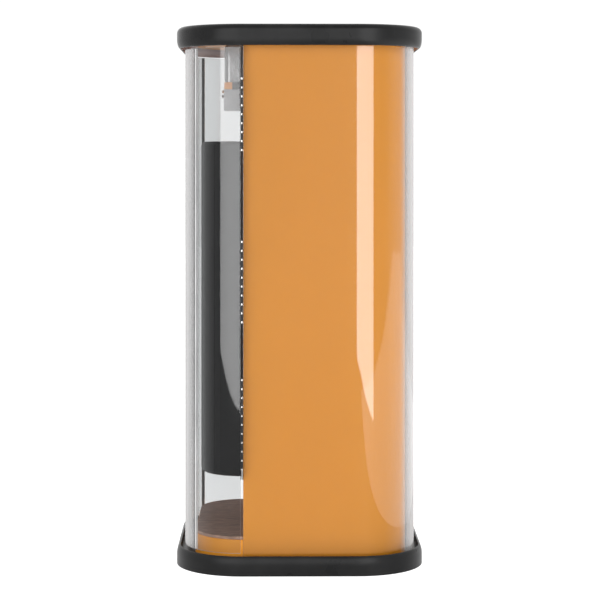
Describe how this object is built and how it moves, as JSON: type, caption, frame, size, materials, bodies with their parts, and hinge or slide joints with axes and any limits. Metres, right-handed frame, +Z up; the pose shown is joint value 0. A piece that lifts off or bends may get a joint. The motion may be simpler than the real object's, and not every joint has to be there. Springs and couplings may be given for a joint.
{
  "type": "newspaper vending box",
  "caption": "Free-standing newspaper vending box with a clear wrap-round shell, a coloured cabinet, a hinged clear door and a coin mechanism under the cap.",
  "frame": {"origin": "centre of the base plate on the floor", "axes": "+Z up; the door faces -Y; the door's hinge is on the +X side"},
  "size_m": [0.504, 0.504, 1.1],
  "materials": {
    "black_plastic": "fine grained black moulding",
    "clear_shell": "clear bent polycarbonate sheet",
    "orange_sheet": "satin orange powder coat",
    "brown_board": "rough brown hardboard",
    "concrete": "cast concrete",
    "zinc_steel": "zinc plated",
    "bright_steel": "bright turned steel",
    "brushed_steel": "brushed",
    "black_steel": "semi-gloss black paint",
    "black_gloss": "high gloss black sheet",
    "red_plastic": "gloss moulding"
  },
  "bodies": {
    "stand": {"base_tray": "black_plastic", "ballast_block": "concrete", "plinth_cover": "orange_sheet", "stack_board": "brown_board", "cabinet_liner": "orange_sheet", "rear_shell": "clear_shell", "top_cap": "black_plastic", "ceiling_plate": "orange_sheet", "tie_rods": "zinc_steel", "tie_rod_nuts": "zinc_steel", "liner_brackets": "zinc_steel", "bracket_screws": "zinc_steel", "cap_screws": "zinc_steel", "hinge_leaf_cabinet": "black_steel", "latch_jamb": "black_steel", "hinge_pins": "bright_steel", "magnet_catch": "black_plastic", "latch_case": "black_steel", "coin_slot_plate": "brushed_steel", "slot_plate_screws": "zinc_steel", "coin_chute": "zinc_steel", "mechanism_case": "black_steel", "cash_rails": "orange_sheet", "button_spring": "bright_steel"},
    "door": {"door_shell": "clear_shell", "hinge_leaf_door": "black_steel", "latch_stile": "black_steel", "display_panel": "black_gloss", "panel_screws": "zinc_steel", "door_pull": "black_plastic", "pull_nuts": "zinc_steel", "door_strike": "brushed_steel", "catch_plate": "bright_steel"},
    "bolt": {"latch_bolt": "bright_steel"},
    "button": {"release_button": "red_plastic"},
    "drawer": {"cash_box": "black_steel"},
    "lock": {"cash_lock": "bright_steel"}
  },
  "joints": [
    {"name": "door_hinge", "type": "hinge", "parent": "stand", "child": "door", "pos_m": [0.2382, -0.1165, 0.6], "axis": [0, 0, 1], "range_deg": [0, 100]},
    {"name": "bolt_slide", "type": "slide", "parent": "stand", "child": "bolt", "axis": [-1, 0, 0], "range_m": [0, 0.009]},
    {"name": "button_press", "type": "slide", "parent": "stand", "child": "button", "axis": [0, 0, -1], "range_m": [0, 0.004], "stiffness_N_per_m": 500, "springref_m": -0.002, "deforming": ["button_spring"]},
    {"name": "drawer_slide", "type": "slide", "parent": "stand", "child": "drawer", "axis": [0, -1, 0], "range_m": [0, 0.06]},
    {"name": "lock_turn", "type": "hinge", "parent": "drawer", "child": "lock", "pos_m": [0, -0.155, 0.968], "axis": [0, 1, 0], "range_deg": [0, 90]}
  ]
}
